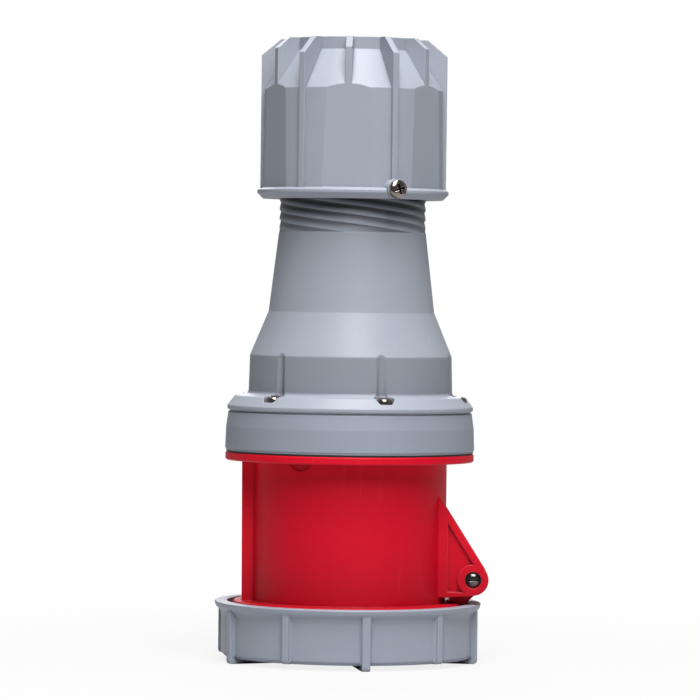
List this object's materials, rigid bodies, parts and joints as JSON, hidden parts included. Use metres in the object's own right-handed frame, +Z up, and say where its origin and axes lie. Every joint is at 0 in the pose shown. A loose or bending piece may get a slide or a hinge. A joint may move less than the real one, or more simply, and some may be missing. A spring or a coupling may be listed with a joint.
{
  "type": "industrial cable coupler",
  "caption": "Heavy industrial cable coupler: red front housing with hinged lid and bayonet ring, grey coned rear housing, and a large ribbed cable gland nut.",
  "frame": {"origin": "on the coupler's own axis, in the plane that its closed lid and locking ring stand on", "axes": "+Z up the axis to the cable mouth, +X to the lid's hinge, -X to the key channel"},
  "size_m": [0.1364, 0.1332, 0.3105],
  "materials": {
    "grey_plastic": "moulded, fine satin",
    "grey_ring": "moulded, fine satin",
    "grey_nut": "moulded, fine satin",
    "red_plastic": "moulded, satin",
    "red_lid": "moulded, satin",
    "black_plastic": "moulded",
    "white_plastic": "moulded",
    "carrier_plastic": "glass-filled, matt",
    "black_rubber": "matt",
    "contact_brass": "turned",
    "screw_steel": "zinc plated",
    "screw_nickel": "nickel plated",
    "pin_steel": "blackened, worn bright on the ends",
    "spring_steel": "bright drawn wire"
  },
  "bodies": {
    "housing": {"front_housing": "red_plastic", "hinge_pin": "pin_steel", "hinge_spring": "spring_steel", "contact_carrier": "carrier_plastic", "carrier_ring": "carrier_plastic", "carrier_cover": "carrier_plastic", "carrier_screws": "screw_steel", "cover_screws": "screw_steel", "contact_earth": "contact_brass", "contact_phase_1": "contact_brass", "contact_phase_2": "contact_brass", "contact_phase_3": "contact_brass", "contact_neutral": "contact_brass", "contact_pilot": "contact_brass", "terminal_screws": "screw_steel", "housing_seal": "black_rubber", "spacer_ring": "grey_plastic", "flange_inserts": "contact_brass", "rear_housing": "grey_plastic", "flange_screws": "screw_nickel", "clamping_cage": "black_plastic", "cable_seal": "black_rubber"},
    "lid": {"lid": "red_lid", "lid_gasket": "black_rubber", "ring_retainer": "black_plastic", "retainer_screws": "screw_steel"},
    "locking_ring": {"locking_ring": "grey_ring"},
    "pressure_ring": {"pressure_ring": "white_plastic"},
    "gland_nut": {"gland_nut": "grey_nut", "gland_lock_screw": "screw_nickel"}
  },
  "joints": [
    {"name": "gland_travel", "type": "slide", "parent": "housing", "child": "pressure_ring", "axis": [0, 0, 1], "range_m": [0, 0.0231]},
    {"name": "gland_turn", "type": "hinge", "parent": "pressure_ring", "child": "gland_nut", "pos_m": [0, 0, 0.262], "axis": [0, 0, -1], "range_deg": [0, 300]},
    {"name": "lid_hinge", "type": "hinge", "parent": "housing", "child": "lid", "pos_m": [0.0621, 0, 0.0422], "axis": [0, -1, 0], "range_deg": [0, 115], "stiffness_Nm_per_rad": 0.08, "springref_deg": -68.75, "deforming": ["hinge_spring"]},
    {"name": "ring_turn", "type": "hinge", "parent": "lid", "child": "locking_ring", "pos_m": [0, 0, 0.00385], "axis": [0, 0, 1], "range_deg": [0, 25]}
  ],
  "couplings": [
    {"joint": "gland_travel", "follows": "gland_turn", "m_per_rad": 0.0043927}
  ]
}
